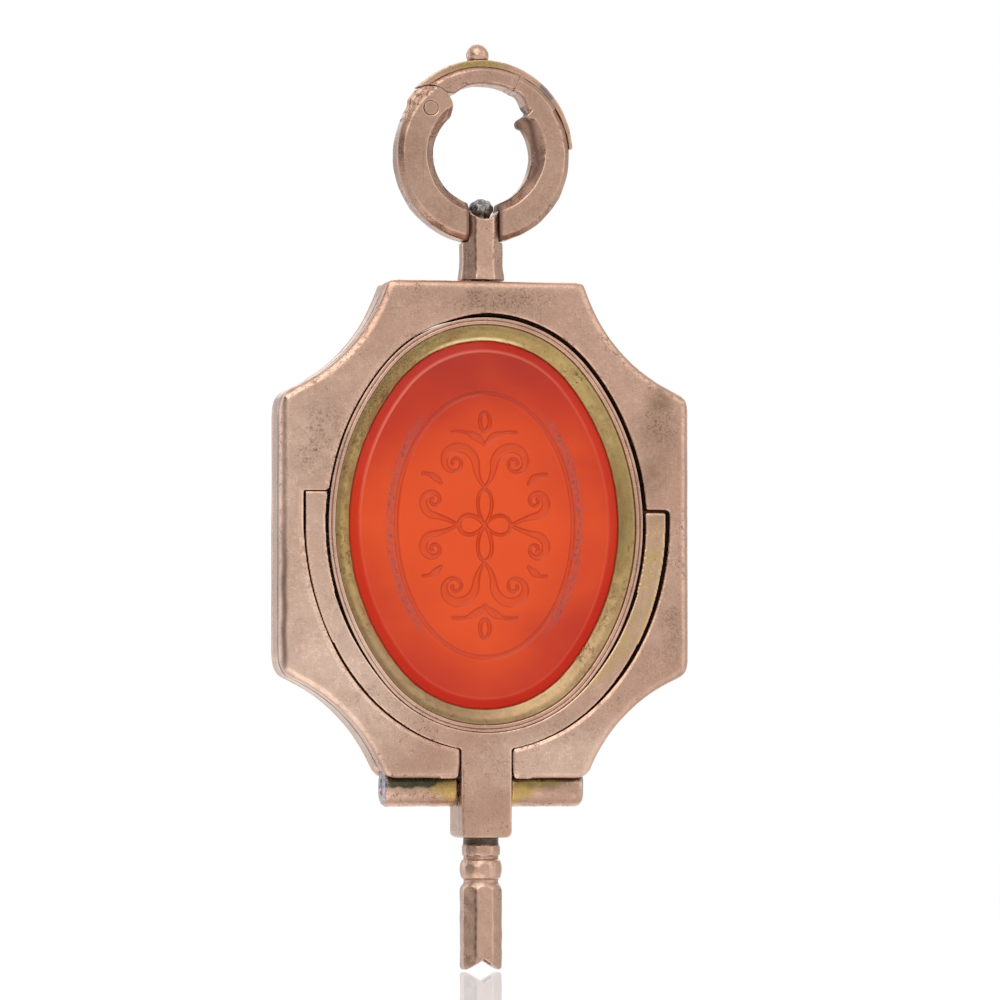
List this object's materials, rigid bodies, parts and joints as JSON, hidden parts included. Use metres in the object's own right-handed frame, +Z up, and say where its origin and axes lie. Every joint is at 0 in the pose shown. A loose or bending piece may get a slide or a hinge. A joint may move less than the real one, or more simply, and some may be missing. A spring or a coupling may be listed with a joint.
{
  "type": "pocket watch key",
  "caption": "Pocket watch key with a hinged oval seal in an eight-cornered frame, a swivel and a ring that opens.",
  "frame": {"origin": "middle of the pipe's mouth, under the middle of the frame", "axes": "+Z up through the ring, +X to the right seen from the front, -Y out of the front face"},
  "size_m": [0.027, 0.0038, 0.06],
  "materials": {
    "rose_gold": "worn satin rose gold",
    "yellow_gold": "tarnished yellow gold",
    "steel": "dark oxidised steel",
    "carnelian": "polished translucent orange-red stone"
  },
  "bodies": {
    "bow": {"bow_left": "rose_gold", "bow_right": "rose_gold", "swivel_post": "rose_gold", "gate_rivet": "rose_gold"},
    "gate": {"gate_arm": "rose_gold", "gate_spring": "yellow_gold", "thumb_ball": "rose_gold", "catch_pin": "steel"},
    "frame": {"swivel_pin": "steel", "frame_front": "rose_gold", "frame_ledge": "yellow_gold", "frame_lining": "yellow_gold", "edge_band": "rose_gold", "frame_back": "rose_gold", "hinge_barrel_left": "rose_gold", "hinge_barrel_right": "rose_gold", "hinge_pin": "steel"},
    "key": {"cradle": "rose_gold", "knuckle": "rose_gold", "seal_setting": "rose_gold", "setting_slope": "yellow_gold", "setting_back_rim": "rose_gold", "seal_stone": "carnelian", "key_pipe": "rose_gold"}
  },
  "joints": [
    {"name": "gate_hinge", "type": "hinge", "parent": "bow", "child": "gate", "pos_m": [-0.00354, 0, 0.05569], "axis": [0, -1, 0], "range_deg": [0, 35]},
    {"name": "bow_swivel", "type": "hinge", "parent": "bow", "child": "frame", "pos_m": [0, 0, 0.0445], "axis": [0, 0, 1], "continuous": true},
    {"name": "seal_hinge", "type": "hinge", "parent": "frame", "child": "key", "pos_m": [0, 0, 0.01175], "axis": [1, 0, 0], "range_deg": [0, 180]}
  ]
}
